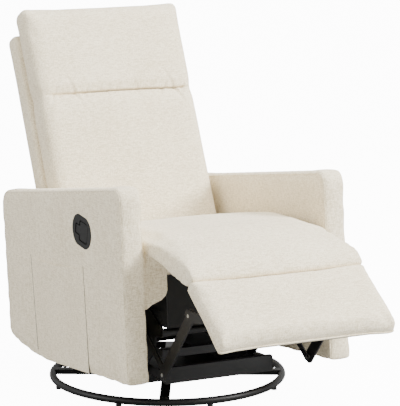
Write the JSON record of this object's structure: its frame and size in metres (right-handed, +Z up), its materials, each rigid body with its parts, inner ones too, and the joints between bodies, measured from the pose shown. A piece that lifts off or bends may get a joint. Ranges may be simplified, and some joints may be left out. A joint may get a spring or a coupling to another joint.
{
  "type": "swivel glider recliner chair",
  "caption": "Fabric nursery chair that swivels on a ring base, glides on swing links and reclines, with a folding footrest, a side pocket and a recessed release lever.",
  "frame": {"origin": "on the floor, under the middle of the chair's overall box with the footrest out", "axes": "+Z up, +Y toward the chair's back, -Y where the sitter faces, +X to the viewer's right when facing the chair; the release lever and pocket are on the -X arm"},
  "size_m": [0.6519, 1.3485, 0.9962],
  "materials": {
    "upholstery": "oatmeal woven cloth",
    "black_steel": "semi-gloss black powder coat",
    "black_plastic": "fine textured black",
    "rubber": "matt",
    "zinc_steel": "bright zinc",
    "plywood": "raw plywood",
    "black_lining": "thin black lining cloth"
  },
  "bodies": {
    "base": {"base_ring": "black_steel", "base_crossbars": "black_steel", "base_hub": "black_steel", "floor_glides": "rubber", "bearing_lower_plate": "black_steel", "bearing_balls": "zinc_steel"},
    "swivel": {"bearing_upper_plate": "black_steel", "glider_sides": "black_steel", "glider_front_channel": "black_steel", "glider_rear_channel": "black_steel", "glider_upper_pins": "zinc_steel"},
    "front_links": {"front_glide_links": "black_steel"},
    "rear_links": {"rear_glide_links": "black_steel"},
    "carriage": {"carriage_rails": "black_steel", "carriage_front_member": "black_steel", "carriage_front_tube": "black_steel", "carriage_rear_tube": "black_steel", "glide_lower_pins": "zinc_steel", "mechanism_plates": "black_steel", "front_cross_tube": "black_steel", "crank_pivot_pins": "zinc_steel", "mechanism_brackets": "black_steel", "seat_side_rails": "plywood", "arm_bolts": "zinc_steel", "seat_front_rail": "plywood", "seat_rear_rail": "plywood", "seat_springs": "zinc_steel", "seat_front_cheeks": "upholstery", "front_lining": "black_lining", "recline_pins": "zinc_steel", "seat_cushion": "upholstery", "rear_skirt": "upholstery", "arm_frame_left": "plywood", "arm_frame_right": "plywood", "arm_cover_left": "upholstery", "arm_cover_right": "upholstery", "side_pocket": "upholstery", "lever_bezel": "black_plastic", "lever_hinge_pin": "zinc_steel", "release_cable": "black_plastic"},
    "backrest": {"back_posts": "plywood", "back_brackets": "black_steel", "back_top_rail": "plywood", "back_bottom_rail": "plywood", "back_webbing": "black_lining", "back_shell": "upholstery", "back_cushion": "upholstery"},
    "crank": {"ottoman_cranks": "black_steel", "knee_pins": "zinc_steel"},
    "strut": {"ottoman_struts": "black_steel"},
    "footrest": {"footrest_pins": "zinc_steel", "footrest_brackets": "black_steel", "footrest_board": "plywood", "footrest_cushion": "upholstery"},
    "bridge": {"bridge_pad": "upholstery"},
    "lever": {"lever_paddle": "black_plastic"}
  },
  "joints": [
    {"name": "swivel", "type": "hinge", "parent": "base", "child": "swivel", "pos_m": [0, 0.12706, 0.035], "axis": [0, 0, 1], "continuous": true},
    {"name": "glide", "type": "hinge", "parent": "swivel", "child": "front_links", "pos_m": [0, -0.02294, 0.22], "axis": [1, 0, 0], "range_deg": [-14, 14]},
    {"name": "rear_glide", "type": "hinge", "parent": "swivel", "child": "rear_links", "pos_m": [0, 0.27706, 0.22], "axis": [1, 0, 0], "range_deg": [-14, 14]},
    {"name": "carriage_level", "type": "hinge", "parent": "front_links", "child": "carriage", "pos_m": [0, -0.02294, 0.09], "axis": [1, 0, 0], "range_deg": [-14, 14]},
    {"name": "recline", "type": "hinge", "parent": "carriage", "child": "backrest", "pos_m": [0, 0.30512, 0.28424], "axis": [-1, 0, 0], "range_deg": [0, 28]},
    {"name": "footrest_fold", "type": "hinge", "parent": "carriage", "child": "crank", "pos_m": [0, -0.15294, 0.225], "axis": [1, 0, 0], "range_deg": [0, 123.3]},
    {"name": "footrest_knee", "type": "hinge", "parent": "crank", "child": "strut", "pos_m": [0, -0.28794, 0.13], "axis": [1, 0, 0], "range_deg": [-109.6, 0]},
    {"name": "footrest_tilt", "type": "hinge", "parent": "strut", "child": "footrest", "pos_m": [0, -0.45094, 0.32], "axis": [1, 0, 0], "range_deg": [0, 40.3]},
    {"name": "bridge_fold", "type": "hinge", "parent": "carriage", "child": "bridge", "pos_m": [0, -0.26494, 0.432], "axis": [1, 0, 0], "range_deg": [0, 56.7], "deforming": ["bridge_pad"]},
    {"name": "release", "type": "hinge", "parent": "carriage", "child": "lever", "pos_m": [-0.3185, 0.00001, 0.47221], "axis": [0, 0.1132, -0.9936], "range_deg": [0, 35], "stiffness_Nm_per_rad": 0.4}
  ],
  "couplings": [
    {"joint": "rear_glide", "follows": "glide", "ratio": 1},
    {"joint": "carriage_level", "follows": "glide", "ratio": -1},
    {"joint": "footrest_knee", "follows": "footrest_fold", "ratio": -0.8881},
    {"joint": "footrest_tilt", "follows": "footrest_fold", "ratio": 0.326},
    {"joint": "bridge_fold", "follows": "footrest_fold", "ratio": 0.459}
  ]
}
